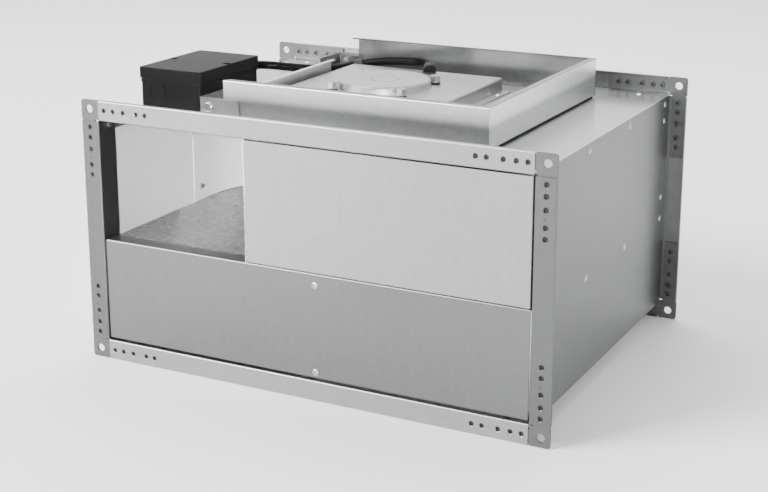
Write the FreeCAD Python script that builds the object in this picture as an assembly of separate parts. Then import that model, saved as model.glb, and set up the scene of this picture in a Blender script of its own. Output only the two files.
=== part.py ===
"""Inline duct fan for a 500 x 250 mm duct, with a swing-out motor hatch.

Origin: centre of the footprint, on the underside of the flanges.
+X runs along the long side of the duct, +Y from outlet to inlet, +Z up.
All sizes are in millimetres.
"""
import FreeCAD
import Part
import os
from math import cos, sin, radians, pi, tan, atan2, hypot

V = FreeCAD.Vector

# ---- driving dimensions -------------------------------------------------
DUCT_W = 500.0            # duct connection, wide side
DUCT_H = 250.0            # duct connection, high side
LENGTH = 410.0            # flange face to flange face
FLANGE = 20.0             # height of the flange bars
SHEET = 1.0               # casing sheet
BAR_SHEET = 1.0           # flange bar sheet
PLATE = 2.0               # corner plates
PARTITION_Z = 137.0       # top of the shelf that carries the inlet ring
OUTLET_W = 180.0          # width of the outlet, left of the front
PANEL_RECESS = 2.0        # front panels stand behind the flange face
PANEL_GAP = 1.8           # shadow gap round the front panels
LAP_DEPTH = 3.4           # inner face of the scroll lap, in from the side panel's outer face

AXIS_X = -13.0            # motor axis
AXIS_Y = 0.0
IMPELLER_R = 100.0
IMPELLER_Z0 = 159.0       # bottom of the impeller
IMPELLER_Z1 = 247.5       # top of its back plate
BLADE_COUNT = 36
BLADE_IN_R = 79.0
TONGUE_R = 115.0          # scroll radius at the tongue
TONGUE_DEG = 240.0
WALL_R = 234.8            # scroll radius where it meets the left wall
SCROLL_END_DEG = 540.0

HATCH_X0, HATCH_X1 = -122.0, 180.0
HATCH_Y0, HATCH_Y1 = -155.0, 145.0
HATCH_TOP = 315.0
HATCH_LEFT_TOP = 300.0
HATCH_NOTCH_Y = 73.0      # the low left wall ends here
HATCH_SHEET = 1.2
GASKET_GAP = 0.3          # gasket clear of the casing when the hatch is shut
GASKET_H = 1.8
LIP = 6.5
PIVOT_X, PIVOT_Z = -139.0, 285.0
PIVOT_R = 3.0
EAR_R = 7.5               # hinge ears of the front and rear hatch walls

BOX_X0, BOX_X1 = -236.0, -156.0
BOX_Y0, BOX_Y1 = -147.0, -29.0
BOX_TOP = 318.0
COVER_Z = 306.0

CABLE_R = 5.0
CABLE_ROUTE = [
    V(-5, 98, 293.5), V(-10.5, 106.5, 297.5), V(-24, 113.5, 298.5), V(-40, 116, 297.5),
    V(-58, 118, 296), V(-78, 120, 293.5), V(-98, 120, 290), V(-115, 115, 286),
    V(-127, 102, 284), V(-139, 86, 284.5), V(-154, 71, 286.5), V(-174, 63, 288),
    V(-194, 57, 289.5), V(-208, 44, 291), V(-214.5, 21, 292), V(-214, -8, 292)]
CABLE_SPLITS = (7, 10)    # route points where the cable is held on each side of the hinge

# ---- derived levels -----------------------------------------------------
XI = DUCT_W / 2
XO = XI + FLANGE
Z0 = FLANGE
Z1 = FLANGE + DUCT_H
ZTOP = Z1 + FLANGE
YF = -LENGTH / 2
YR = LENGTH / 2
OUTLET_X = -XI + OUTLET_W
HOLE_EDGE = 10.0          # corner hole centre from the flange's outer edges
HOLE_R = 4.5
ARM = 94.0                # corner plate arms, from the outer corner
CLINCH_AT = (29.5, 41.0, 54.0, 71.0, 82.0)
CLINCH_R = 2.4
PUNCH_AT = 62.5           # small punch mark between the clinches
BASE_Z = Z1 + GASKET_GAP + GASKET_H
BASE_TOP = BASE_Z + 2 * HATCH_SHEET
BRIDGE_TOP = 290.0
BRIDGE_T = 1.5
BOLT_HALF = 42.0          # motor bolts stand on a square of twice this
RIVETS = {
    "side": [(-63, 261), (61.5, 261), (-62, 126.4), (59.5, 126.4)],
    "rear": [(185, 261), (185, 242), (185, 152), (185, 126.4)],
    "front": [(-187, 261), (-187, 29)]}


# ---- small builders -----------------------------------------------------
def box(x0, x1, y0, y1, z0, z1):
    return Part.makeBox(x1 - x0, y1 - y0, z1 - z0, V(x0, y0, z0))


def rod(r, x, y, z0, z1):
    return Part.makeCylinder(r, z1 - z0, V(x, y, z0))


def rod_y(r, x, z, y0, y1):
    return Part.makeCylinder(r, y1 - y0, V(x, y0, z), V(0, 1, 0))


def tube(ro, ri, x, y, z0, z1):
    return rod(ro, x, y, z0, z1).cut(rod(ri, x, y, z0 - 1, z1 + 1))


def hexagon(flats, x, y, z0, z1):
    r = flats / 2 / cos(pi / 6)
    points = [V(x + r * cos(k * pi / 3), y + r * sin(k * pi / 3), z0) for k in range(7)]
    return Part.Face(Part.makePolygon(points)).extrude(V(0, 0, z1 - z0))


def revolved(profile, x, y):
    """Closed (radius, height) outline turned about a vertical axis."""
    points = [V(x + r, y, z) for r, z in profile]
    face = Part.Face(Part.makePolygon(points + points[:1]))
    return face.revolve(V(x, y, 0), V(0, 0, 1), 360)


def mirror_x(shape):
    return shape.mirror(V(0, 0, 0), V(1, 0, 0))


def mirror_y(shape):
    return shape.mirror(V(0, 0, 0), V(0, 1, 0))


def flip_z(shape):
    return shape.mirror(V(0, 0, ZTOP / 2), V(0, 0, 1))


def fuse(*shapes):
    body = shapes[0]
    for shape in shapes[1:]:
        body = body.fuse(shape)
    return body.removeSplitter()


def cut(shape, *tools):
    for tool in tools:
        shape = shape.cut(tool)
    return shape


def bent_sheet(points, thick, bend, place, depth):
    """A strip of sheet bent along a 2-D centre line.

    points: the corners of the centre line; bend: its radius at each corner.
    place(u, v): the 3-D point of a 2-D one; depth: the extrusion vector.
    """
    count = len(points)
    dirs = []
    for (u0, v0), (u1, v1) in zip(points, points[1:]):
        size = hypot(u1 - u0, v1 - v0)
        dirs.append(((u1 - u0) / size, (v1 - v0) / size))

    def side(offset):
        edges = []
        start = (points[0][0] - dirs[0][1] * offset, points[0][1] + dirs[0][0] * offset)
        for k in range(1, count - 1):
            (a, b), (c, d) = dirs[k - 1], dirs[k]
            turn = atan2(a * d - b * c, a * c + b * d)
            sign = 1 if turn > 0 else -1
            reach = bend * tan(abs(turn) / 2)
            centre = (points[k][0] - a * reach - b * bend * sign,
                      points[k][1] - b * reach + a * bend * sign)
            radius = bend - sign * offset
            angle0 = atan2(-a * sign, b * sign)
            arc = [(centre[0] + radius * cos(angle0 + turn * f),
                    centre[1] + radius * sin(angle0 + turn * f)) for f in (0, 0.5, 1)]
            edges.append(("line", start, arc[0]))
            edges.append(("arc",) + tuple(arc))
            start = arc[2]
        a, b = dirs[-1]
        end = (points[-1][0] - b * offset, points[-1][1] + a * offset)
        edges.append(("line", start, end))
        return edges

    def make(edge):
        corners = [place(u, v) for u, v in edge[1:]]
        if edge[0] == "arc":
            return Part.Arc(*corners).toShape()
        return Part.LineSegment(*corners).toShape()

    left, right = side(thick / 2), side(-thick / 2)
    caps = [("line", left[0][1], right[0][1]), ("line", left[-1][2], right[-1][2])]
    edges = [make(edge) for edge in left + right + caps]
    wire = Part.Wire(Part.__sortEdges__(edges))
    return Part.Face(wire).extrude(depth)


def rivet(tip, out, grip):
    """Blind rivet: low dome outside, shank, and a set bulb behind the sheets."""
    head = Part.makeSphere(6.2, tip + out * (1.3 - 6.2)).common(Part.makeCylinder(4.2, 1.3, tip, out))
    shank = Part.makeCylinder(1.9, grip + 0.5, tip + out * (-grip - 0.5), out)
    bulb = Part.makeCylinder(3.0, 2.4, tip + out * (-grip - 2.6), out)
    return fuse(head, shank, bulb)


def rivet_hole(tip, out, depth=4.0):
    return Part.makeCylinder(2.0, depth + 1, tip - out * depth, out)


def pan_screw(tip, length):
    """Pan-head screw driven towards +Y, with a cross recess in its domed head."""
    head_r, head_h = 3.6, 1.9
    dome = Part.makeSphere(6.4, V(tip.x, tip.y - head_h + 6.4, tip.z))
    head = rod_y(head_r, tip.x, tip.z, tip.y - head_h, tip.y).common(dome)
    recess = [box(tip.x - a, tip.x + a, tip.y - head_h - 1, tip.y - 0.7, tip.z - b, tip.z + b)
              for a, b in ((1.9, 0.45), (0.45, 1.9))]
    return cut(head.fuse(rod_y(1.5, tip.x, tip.z, tip.y - 0.5, tip.y + length)), *recess)


# ---- rivet places -------------------------------------------------------
def side_rivets(sign, kind):
    return [(V(sign * XI, y, z), V(sign, 0, 0)) for y, z in RIVETS[kind]]


def all_side_rivets(sign):
    return side_rivets(sign, "side") + side_rivets(sign, "rear") + side_rivets(sign, "front")


TOP_RIVETS = [(V(x, y, Z1), V(0, 0, 1)) for y in (-187, 185) for x in (-219, 219)]
BOTTOM_RIVETS = [(V(x, y, Z0), V(0, 0, -1)) for y in (-187, 185) for x in (-219, 0, 219)]


# ---- casing -------------------------------------------------------------
LEG_IN = 2 * SHEET        # inner face of a flange bar's leg, in from the duct size
BAR_LEG = 28.0
BAR_LIP = 4.0
CASING_END = 3.2          # casing sheets stop short of the flange face
LEG_ZONE = LENGTH / 2 - BAR_LEG - 1.5    # side flanges end before the bar legs


def tray(width, level, turn_up, y0, y1):
    """Flat sheet whose long sides are turned up or down between the flange legs."""
    x = width / 2 - SHEET / 2
    sheet = bent_sheet([(-x, level + turn_up), (-x, level), (x, level), (x, level + turn_up)],
                       SHEET, 1.5, lambda u, v: V(u, -LEG_ZONE, v), V(0, 2 * LEG_ZONE, 0))
    ends = [box(-width / 2, width / 2, a, b, level - SHEET / 2, level + SHEET / 2)
            for a, b in ((y0, 0.2 - LEG_ZONE), (LEG_ZONE - 0.2, y1))]
    return fuse(sheet, *ends)


def casing_bottom_panel():
    panel = tray(2 * (XI - SHEET), Z0 + SHEET / 2, 12, YF + CASING_END, YR - CASING_END)
    return cut(panel, *[rivet_hole(*place) for place in BOTTOM_RIVETS])


def casing_side_panel(sign):
    y0, y1 = YF + CASING_END, YR - CASING_END
    x0, x1 = sorted((sign * (XI - SHEET), sign * XI))
    panel = box(x0, x1, y0, y1, Z0, Z1 - 1.2 * SHEET)
    holes = [rivet_hole(*place) for place in all_side_rivets(sign)]
    if sign < 0:
        holes.append(rivet_hole(*SCROLL_RIVET))
    return cut(panel, *holes)


OPEN_X0, OPEN_X1 = HATCH_X0 + 5, HATCH_X1 - 16
OPEN_Y0, OPEN_Y1 = HATCH_Y0 + 12, HATCH_Y1 - 12
HATCH_SCREW_X = HATCH_X1 - 9
HATCH_SCREW_Y = (-115.0, -5.0, 105.0)
SCROLL_RIVET = (V(-XI, -20, 153), V(-1, 0, 0))
BRACKET_Y = ((HATCH_Y0 - 1.0 - HATCH_SHEET, -96.0), (96.0, HATCH_Y1 + 1.0 + HATCH_SHEET))
BRACKET_X0, BRACKET_X1 = -150.0, -126.0
BRACKET_TOP = 295.0
BRACKET_RIVETS = [(V(-132, y, Z1 + HATCH_SHEET), V(0, 0, 1)) for y in (-138, -110, 108, 128)]


def casing_top_panel():
    y0, y1 = YF + CASING_END, YR - CASING_END
    x = XI - 1.5 * SHEET
    skin = box(-XI, XI, y0, y1, Z1 - SHEET, Z1)
    skin = skin.makeFillet(0.8, [e for e in skin.Edges if is_along_y(e) and e.BoundBox.ZMin > Z1 - 0.1])
    flanges = [box(s * x - SHEET / 2, s * x + SHEET / 2, -LEG_ZONE, LEG_ZONE, Z1 - 15, Z1 - SHEET)
               for s in (-1, 1)]
    opening = box(OPEN_X0, OPEN_X1, OPEN_Y0, OPEN_Y1, Z1 - 5, Z1 + 5)
    opening = opening.makeFillet(10, [e for e in opening.Edges if is_upright(e)])
    holes = [rivet_hole(*place) for place in TOP_RIVETS]
    holes += [rivet_hole(*place) for place in BRACKET_RIVETS]
    holes += [rivet_hole(*place) for s in (-1, 1) for place in all_side_rivets(s)]
    holes += [rod(3.8, HATCH_SCREW_X, y, Z1 - 5, Z1 + 5) for y in HATCH_SCREW_Y]
    holes += [rod(1.6, x, y, Z1 - 5, Z1 + 5) for x, y in BOX_SCREWS]
    return cut(fuse(skin, *flanges), opening, *holes)


def is_upright(edge):
    size = edge.BoundBox
    return size.ZLength > 1e-3 and size.XLength < 1e-3 and size.YLength < 1e-3


def is_along_y(edge):
    size = edge.BoundBox
    return size.YLength > 1e-3 and size.XLength < 1e-3 and size.ZLength < 1e-3


# ---- flanges ------------------------------------------------------------
CLINCH_EDGE = 10.5
CORNER = 22.5             # visible square of a corner plate


def clinch_mark(x, z, radius=CLINCH_R):
    """Round press mark through the face of a bar, with a chamfered rim."""
    rim = Part.makeCone(radius + 0.9, radius, 0.9, V(x, YF - 0.2, z), V(0, 1, 0))
    return rim.fuse(rod_y(radius, x, z, YF - 1, YF + BAR_SHEET + 1))


def bar_marks(half, place):
    """Press marks at both ends of a bar; place(s) is the centre s from the bar's middle."""
    ends = (-1, 1)
    marks = [clinch_mark(*place(s * (half - a))) for s in ends for a in CLINCH_AT]
    return marks + [rod_y(1.7, *place(s * (half - PUNCH_AT)), YF - 1, YF + 0.5) for s in ends]


def flange_bar_top():
    """Front top bar: a face, a leg inside the casing and a return lip on the outer edge."""
    half = XO - CORNER
    face = YF + BAR_SHEET / 2
    inner = Z1 - LEG_IN + BAR_SHEET / 2
    bar = bent_sheet(
        [(face + BAR_LIP, ZTOP - BAR_SHEET / 2), (face, ZTOP - BAR_SHEET / 2),
         (face, inner), (face + BAR_LEG, inner)],
        BAR_SHEET, 1.2, lambda u, v: V(-half, u, v), V(2 * half, 0, 0))
    return cut(bar, *bar_marks(XO, lambda s: (s, ZTOP - CLINCH_EDGE)))


def flange_bar_right():
    """Front right bar, between the corner plates."""
    z0, z1 = CORNER, ZTOP - CORNER
    face = YF + BAR_SHEET / 2
    inner = XI - LEG_IN + BAR_SHEET / 2
    bar = bent_sheet(
        [(XO - BAR_SHEET / 2, face + BAR_LIP), (XO - BAR_SHEET / 2, face),
         (inner, face), (inner, face + BAR_LEG)],
        BAR_SHEET, 1.2, lambda u, v: V(u, v, z0), V(0, 0, z1 - z0))
    return cut(bar, *bar_marks(ZTOP / 2, lambda s: (XO - CLINCH_EDGE, ZTOP / 2 + s)))


def corner_plate():
    """Front top right corner plate, its arms clinched behind the bars."""
    y0, y1 = YF + BAR_SHEET, YF + BAR_SHEET + PLATE
    inset = 1.6
    slot = 2.6
    plate = box(XO - ARM, XO - inset, y0, y1, Z1 + slot, ZTOP - inset)
    plate = plate.fuse(box(XI + slot, XO - inset, y0, y1, ZTOP - ARM, ZTOP - inset))
    square = box(XI - 1.2, XO, y0, y1, Z1 - 1.2, ZTOP)
    square = square.makeFillet(3.0, [e for e in square.Edges
                                     if e.BoundBox.XMin > XO - 1 and e.BoundBox.ZMin > ZTOP - 1
                                     and e.BoundBox.YLength > 1])
    keep = box(XO - CORNER + 0.3, XO, y0, y1, ZTOP - CORNER + 0.3, ZTOP)
    plate = fuse(plate, square.common(keep))
    places = [(XO - a, ZTOP - CLINCH_EDGE) for a in CLINCH_AT]
    places += [(XO - CLINCH_EDGE, ZTOP - a) for a in CLINCH_AT]
    rings = [Part.makeCone(3.6, 2.9, 1.2, V(x, y1 - 0.1, z), V(0, 1, 0)) for x, z in places]
    plate = fuse(plate, *rings)
    pits = [rod_y(CLINCH_R, x, z, y0 - 1, y0 + 1.0) for x, z in places]
    pits += [rod_y(1.9, x, z, y1 - 0.4, y1 + 2) for x, z in places]
    hole = rod_y(HOLE_R, XO - HOLE_EDGE, ZTOP - HOLE_EDGE, y0 - 1, y1 + 1)
    return cut(plate, hole, *pits)


def corner_plates():
    top_right = corner_plate()
    right = [top_right, flip_z(top_right)]
    return Part.makeCompound(right + [mirror_x(plate) for plate in right])


def flange_bars(rear):
    """The long bars and the side bars of one flange, with their rivet holes."""
    turn = mirror_y if rear else (lambda shape: shape)
    side, first = ("rear", 2) if rear else ("front", 0)
    top = cut(turn(flange_bar_top()), *[rivet_hole(*p) for p in TOP_RIVETS[first:first + 2]])
    bottom = cut(turn(flip_z(flange_bar_top())), *[rivet_hole(*p) for p in BOTTOM_RIVETS
                                                   if (p[0].y > 0) == rear])
    right = cut(turn(flange_bar_right()), *[rivet_hole(*p) for p in side_rivets(1, side)])
    return Part.makeCompound([top, bottom]), Part.makeCompound([right, mirror_x(right)])


# ---- inner sheets -------------------------------------------------------
INNER_X = XI - LEG_IN - 0.3     # inner sheets fit between the flange legs
SHELF_TOP = PARTITION_Z - SHEET
EYE_R = 70.0
LEG_RUNS = ((YF, -LEG_ZONE), (LEG_ZONE, YR))    # lengths taken by the legs of the bars


def partition_plate():
    width = 2 * (XI - SHEET - 0.1)
    y0, y1 = YF + PANEL_RECESS + SHEET + 1.6, YR - CASING_END
    shelf = tray(width, SHELF_TOP - SHEET / 2, -16, y0, y1)
    holes = [rivet_hole(*place) for s in (-1, 1) for place in side_rivets(s, "side")]
    trims = [box(*x_range, *y_range, 120, 140)
             for x_range in ((-XO, -INNER_X), (INNER_X, XO)) for y_range in LEG_RUNS]
    return cut(shelf, rod(EYE_R + 8, AXIS_X, AXIS_Y, 120, 150), *trims, *holes)


def clear_of_legs(shape):
    """Notch the top where the legs of the long flange bars run."""
    return cut(shape, *[box(-XO, XO, *run, Z1 - LEG_IN - 0.3, Z1) for run in LEG_RUNS])


def inlet_ring():
    """Bell mouth below the impeller: a flat rim on the shelf and a throat that rises."""
    z = SHELF_TOP
    t = 1.2
    rim = [(EYE_R + 24, z), (EYE_R + 24, z + t), (EYE_R + 9, z + t)]
    bell = [(EYE_R + t + 10 * (1 - sin(a)) - 2.5, z + t + 17 * (1 - cos(a)))
            for a in (radians(k * 15) for k in range(1, 7))]
    back = [(r - t * (0.3 + 0.7 * k / 5), u + (-t if k < 2 else 0))
            for k, (r, u) in enumerate(bell)][::-1]
    return revolved(rim + bell + back + [(EYE_R + 7.2, z)], AXIS_X, AXIS_Y)


def scroll_point(degrees, offset=0.0):
    part = (degrees - TONGUE_DEG) / (SCROLL_END_DEG - TONGUE_DEG)
    r = TONGUE_R + (WALL_R - TONGUE_R) * part + offset
    return V(AXIS_X + r * cos(radians(degrees)), AXIS_Y + r * sin(radians(degrees)), PARTITION_Z)


SCROLL_TOP = Z1 - SHEET - 0.2
SCROLL_START_DEG = TONGUE_DEG + 12


def volute_scroll():
    """Spiral wall from the tongue to the left side, with a flat lap on the side panel."""
    t = SHEET
    steps = 14
    span = SCROLL_END_DEG - 4 - SCROLL_START_DEG
    angles = [SCROLL_START_DEG + span * k / steps for k in range(steps + 1)]
    x_lap = -XI + LAP_DEPTH
    sides = []
    for offset in (0.0, t):
        points = [scroll_point(a, offset) for a in angles]
        points.append(V(x_lap - offset, -6, PARTITION_Z))
        curve = Part.BSplineCurve()
        curve.interpolate(points)
        lap = V(x_lap - offset, -33, PARTITION_Z)
        sides.append((curve.toShape(), Part.LineSegment(points[-1], lap).toShape(), points[0], lap))
    caps = [Part.LineSegment(sides[0][k], sides[1][k]).toShape() for k in (2, 3)]
    edges = [sides[0][0], sides[0][1], sides[1][0], sides[1][1]] + caps
    wall = Part.Face(Part.Wire(Part.__sortEdges__(edges))).extrude(V(0, 0, SCROLL_TOP - PARTITION_Z))
    return clear_of_legs(wall.cut(rivet_hole(*SCROLL_RIVET)))


def volute_tongue():
    """Outlet side wall, bent round the tongue nose and lapped on the scroll."""
    heading = radians(TONGUE_DEG + 90)
    x = OUTLET_X + SHEET / 2
    nose = (x, -98.0)
    run = 30.0
    lap = (nose[0] + run * cos(heading), nose[1] + run * sin(heading))
    wall = bent_sheet([(x, YF + PANEL_RECESS + SHEET + 0.3), nose, lap], SHEET, 6.0,
                      lambda u, v: V(u, v, PARTITION_Z + 0.2), V(0, 0, SCROLL_TOP - PARTITION_Z - 0.2))
    return clear_of_legs(wall)


PANEL_Y = YF + PANEL_RECESS
PANEL_X = XI - LEG_IN - PANEL_GAP
PANEL_SCREWS = [V(13, PANEL_Y, 124.5), V(13, PANEL_Y, 31)]


def front_lower_panel():
    y = PANEL_Y + SHEET / 2
    x = PANEL_X
    top, bottom = PARTITION_Z - SHEET / 2, Z0 + LEG_IN + PANEL_GAP + SHEET / 2
    panel = bent_sheet([(y + 10, bottom), (y, bottom), (y, top), (y + 18, top)], SHEET, 1.8,
                       lambda u, v: V(-x, u, v), V(2 * x, 0, 0))
    return cut(panel, *[rod_y(1.6, p.x, p.z, p.y - 1, p.y + 4) for p in PANEL_SCREWS])


def front_upper_panel():
    y = PANEL_Y + SHEET / 2
    top, bottom = Z1 - LEG_IN - PANEL_GAP, PARTITION_Z + 0.8
    x0, x1 = OUTLET_X + 1.5 * SHEET + 0.1, PANEL_X - SHEET / 2
    return bent_sheet([(x0, y + 16), (x0, y), (x1, y), (x1, y + 10)], SHEET, 1.5,
                      lambda u, v: V(u, v, bottom), V(0, 0, top - bottom))


def panel_stiffener():
    """Upright channel behind the lower panel that takes its two screws."""
    y = PANEL_Y + SHEET + 0.8
    x = PANEL_SCREWS[0].x
    channel = bent_sheet([(x - 14, y + 14), (x - 14, y), (x + 14, y), (x + 14, y + 14)], SHEET * 1.2,
                         1.2, lambda u, v: V(u, v, Z0 + 7), V(0, 0, SHELF_TOP - SHEET - Z0 - 8))
    return cut(channel, *[rod_y(2.1, p.x, p.z, p.y - 1, p.y + 4) for p in PANEL_SCREWS])


def front_panel_screws():
    return Part.makeCompound([pan_screw(p, 8.0) for p in PANEL_SCREWS])


# ---- hinge brackets -----------------------------------------------------
def hinge_bracket(y_tab, y_end):
    """Foot on the casing, outer wall and an end tab that holds the pivot bolt."""
    t = HATCH_SHEET
    y0, y1 = sorted((y_tab, y_end))
    sign = 1 if y_end > y_tab else -1
    wall = bent_sheet([(BRACKET_X1, Z1 + t / 2), (BRACKET_X0 + t / 2, Z1 + t / 2),
                       (BRACKET_X0 + t / 2, BRACKET_TOP)], t, 1.4,
                      lambda u, v: V(u, y0, v), V(0, y1 - y0, 0))
    tab0, tab1 = sorted((y_tab, y_tab + sign * t))
    tab = box(BRACKET_X0, -102, tab0, tab1, Z1, BRACKET_TOP)
    corners = [e for e in tab.Edges if is_along_y(e) and e.BoundBox.ZMin > BRACKET_TOP - 1]
    tab = tab.makeFillet(5.0, [e for e in corners if e.BoundBox.XMin > -110])
    body = fuse(wall, tab)
    holes = [rivet_hole(*p) for p in BRACKET_RIVETS if y0 < p[0].y < y1]
    return cut(body, rod_y(PIVOT_R + 0.1, PIVOT_X, PIVOT_Z, tab0 - 1, tab1 + 1), *holes)


def pivot_bolt(y_out, sign):
    """Bolt from outside the tab; sign is the inward direction along Y."""
    length = 11.0
    ends = sorted((y_out, y_out + sign * length))
    shank = rod_y(PIVOT_R, PIVOT_X, PIVOT_Z, ends[0], ends[1])
    heads = sorted((y_out, y_out - sign * 3.2))
    head = rod_y(5.2, PIVOT_X, PIVOT_Z, heads[0], heads[1])
    rim = [e for e in head.Edges if abs(e.BoundBox.YMin - (y_out - sign * 3.2)) < 0.01
           and e.BoundBox.XLength > 1]
    return shank.fuse(head.makeFillet(1.2, rim))


def pivot_nut(y_face, sign):
    nut = hexagon(10.0, 0, 0, 0, 4.5).cut(rod(PIVOT_R + 0.02, 0, 0, -1, 6))
    nut.rotate(V(0, 0, 0), V(1, 0, 0), -90 * sign)
    nut.translate(V(PIVOT_X, y_face, PIVOT_Z))
    return nut


# ---- hatch --------------------------------------------------------------
def hatch_base():
    t = HATCH_SHEET
    gap = t + 1.0
    x0, x1, y0, y1 = HATCH_X0 + gap, HATCH_X1 - gap, HATCH_Y0 + gap, HATCH_Y1 - gap
    sheet = box(x0, x1, y0, y1, BASE_Z + t, BASE_TOP)
    holes = [rod(3.2, HATCH_SCREW_X, y, 260, 280) for y in HATCH_SCREW_Y]
    holes += [rod(2.0, x, y, 260, 280) for x, y in BRIDGE_RIVETS + [CLAMP_SCREW]]
    return cut(sheet, rod(57, AXIS_X, AXIS_Y, 260, 280), *holes)


def hatch_gasket():
    """Soft strip all round, between the hatch and the casing."""
    z0, z1 = Z1 + GASKET_GAP, BASE_Z
    outer = box(HATCH_X0 + 0.6, HATCH_X1 - 2, HATCH_Y0 + 2, HATCH_Y1 - 2, z0, z1)
    inner = box(OPEN_X0 - 0.4, OPEN_X1 + 1, OPEN_Y0 - 1, OPEN_Y1 + 1, z0 - 1, z1 + 1)
    return cut(outer, inner, *[rod(3.2, HATCH_SCREW_X, y, 260, 280) for y in HATCH_SCREW_Y])


def wall_profile(top, lip, foot):
    """Foot under the base sheet, wall and inward lip; u runs inward from the outer face."""
    t = HATCH_SHEET
    points = [(foot, BASE_Z + t / 2), (t / 2, BASE_Z + t / 2), (t / 2, top - t / 2)]
    if lip:
        points.append((lip, top - t / 2))
    return points


def hatch_wall_across(y_out, sign):
    """Front wall for sign +1, rear wall for -1, with the ear that turns on the pivot."""
    t = HATCH_SHEET
    wall = bent_sheet(wall_profile(HATCH_TOP, LIP, 11.0), t, 1.5,
                      lambda u, v: V(HATCH_X0, y_out + sign * u, v), V(HATCH_X1 - HATCH_X0, 0, 0))
    for z, reach in ((HATCH_TOP - t - 0.9, LIP * 1.2), (BASE_Z - 1, 12.0)):
        for x, s in ((HATCH_X0, 1), (HATCH_X1, -1)):
            near, far = y_out + sign * t * 1.01, y_out + sign * (reach + t)
            mitre = [V(x + s * t * 1.01, near, z), V(x + s * (reach + t), far, z),
                     V(x - s, far, z), V(x - s, near, z)]
            wall = wall.cut(Part.Face(Part.makePolygon(mitre + mitre[:1])).extrude(V(0, 0, t + 2)))
    y0, y1 = sorted((y_out, y_out + sign * t))
    ear = box(PIVOT_X, HATCH_X0 + 6, y0, y1, PIVOT_Z - EAR_R, PIVOT_Z + EAR_R)
    ear = fuse(wall, ear, rod_y(EAR_R, PIVOT_X, PIVOT_Z, y0, y1))
    return ear.cut(rod_y(PIVOT_R + 0.06, PIVOT_X, PIVOT_Z, y0 - 1, y1 + 1))


def hatch_rear_wall():
    """Rear wall; its lip runs on past the left end as a small tongue."""
    lip_y = HATCH_Y1 - LIP
    tongue = box(HATCH_X0 - 6.0, HATCH_X0 + 9, lip_y, lip_y + 4.0, HATCH_TOP - HATCH_SHEET, HATCH_TOP)
    return fuse(hatch_wall_across(HATCH_Y1, -1), tongue)


def side_wall(x_out, sign, top, y0, y1):
    return bent_sheet(wall_profile(top, LIP, 4.6 if sign > 0 else 11.0), HATCH_SHEET, 1.5,
                      lambda u, v: V(x_out + sign * u, y0, v), V(0, y1 - y0, 0))


def hatch_right_wall():
    t = HATCH_SHEET
    y0, y1 = HATCH_Y0 + t + 0.05, HATCH_Y1 - t - 0.05
    wall = side_wall(HATCH_X1, -1, HATCH_TOP, y0, y1)
    tools = [rod(3.2, HATCH_SCREW_X, y, 260, 280) for y in HATCH_SCREW_Y]
    for y, s in ((y0, 1), (y1, -1)):
        corner = [(HATCH_X1 - t * 1.01, y), (HATCH_X1 - t - 13, y), (HATCH_X1 - t - 13, y + s * 13)]
        points = [V(px, py - s * 0.05, BASE_Z - 1) for px, py in corner]
        tools.append(Part.Face(Part.makePolygon(points + points[:1])).extrude(V(0, 0, 60)))
    return cut(wall, *tools)


def hatch_left_wall():
    t = HATCH_SHEET
    wall = side_wall(HATCH_X0, 1, HATCH_LEFT_TOP, HATCH_Y0 + 12.2, HATCH_NOTCH_Y)
    front = box(HATCH_X0, HATCH_X0 + t, HATCH_Y0 + t + 0.05, HATCH_Y0 + 12.3, BASE_Z, HATCH_LEFT_TOP)
    return fuse(wall, front)


def hatch_screw(y):
    head = hexagon(8.0, HATCH_SCREW_X, y, BASE_TOP + 1.2, BASE_TOP + 5.2)
    washer = rod(6.3, HATCH_SCREW_X, y, BASE_TOP, BASE_TOP + 1.2)
    return fuse(head, washer, rod(2.9, HATCH_SCREW_X, y, Z1 - 6, BASE_TOP + 0.5))


# ---- motor bridge -------------------------------------------------------
BRIDGE_X0, BRIDGE_X1 = -111.0, 82.0
BRIDGE_Y = 110.0
BRIDGE_FOOT = 12.0
BRIDGE_RIVETS = [(x, y) for x in (BRIDGE_X0 + 7, BRIDGE_X1 + 6) for y in (-80.0, 0.0, 80.0)]
BOSS_R = 51.8
BOSS_H = 9.5
MARK_R = 16.0             # ring of press marks in the middle of the boss
MOTOR_BOLTS = [(AXIS_X + a * BOLT_HALF, AXIS_Y + b * BOLT_HALF) for a in (-1, 1) for b in (-1, 1)]
GROMMET = (CABLE_ROUTE[0].x, CABLE_ROUTE[0].y)
GROMMET_R = 6.8           # hole in the bridge plate


def pressed_boss(shrink):
    """Raised round field of the bridge plate, as a solid inset by the sheet."""
    r = BOSS_R - shrink
    top = BRIDGE_TOP + BOSS_H - shrink
    z = BRIDGE_TOP - shrink - 0.01
    return revolved([(0, z), (r + 0.8, z), (r, z + 0.8), (r - 0.7, top - 1.6), (r - 2.2, top), (0, top)],
                    AXIS_X, AXIS_Y)


def boss_marks():
    """A shallow ring and round dents pressed in the middle of the boss."""
    z0 = BRIDGE_TOP + BOSS_H - 0.6
    ring = tube(MARK_R + 0.8, MARK_R - 0.8, AXIS_X, AXIS_Y, z0, z0 + 1)
    dents = []
    for k in range(6):
        angle = radians(60 * k + 15)
        dents.append(rod(2.0, AXIS_X + MARK_R * cos(angle), AXIS_Y + MARK_R * sin(angle), z0 - 0.3, z0 + 1))
    return [ring, *dents, rod(4.0, AXIS_X, AXIS_Y, z0, z0 + 1)]


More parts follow.
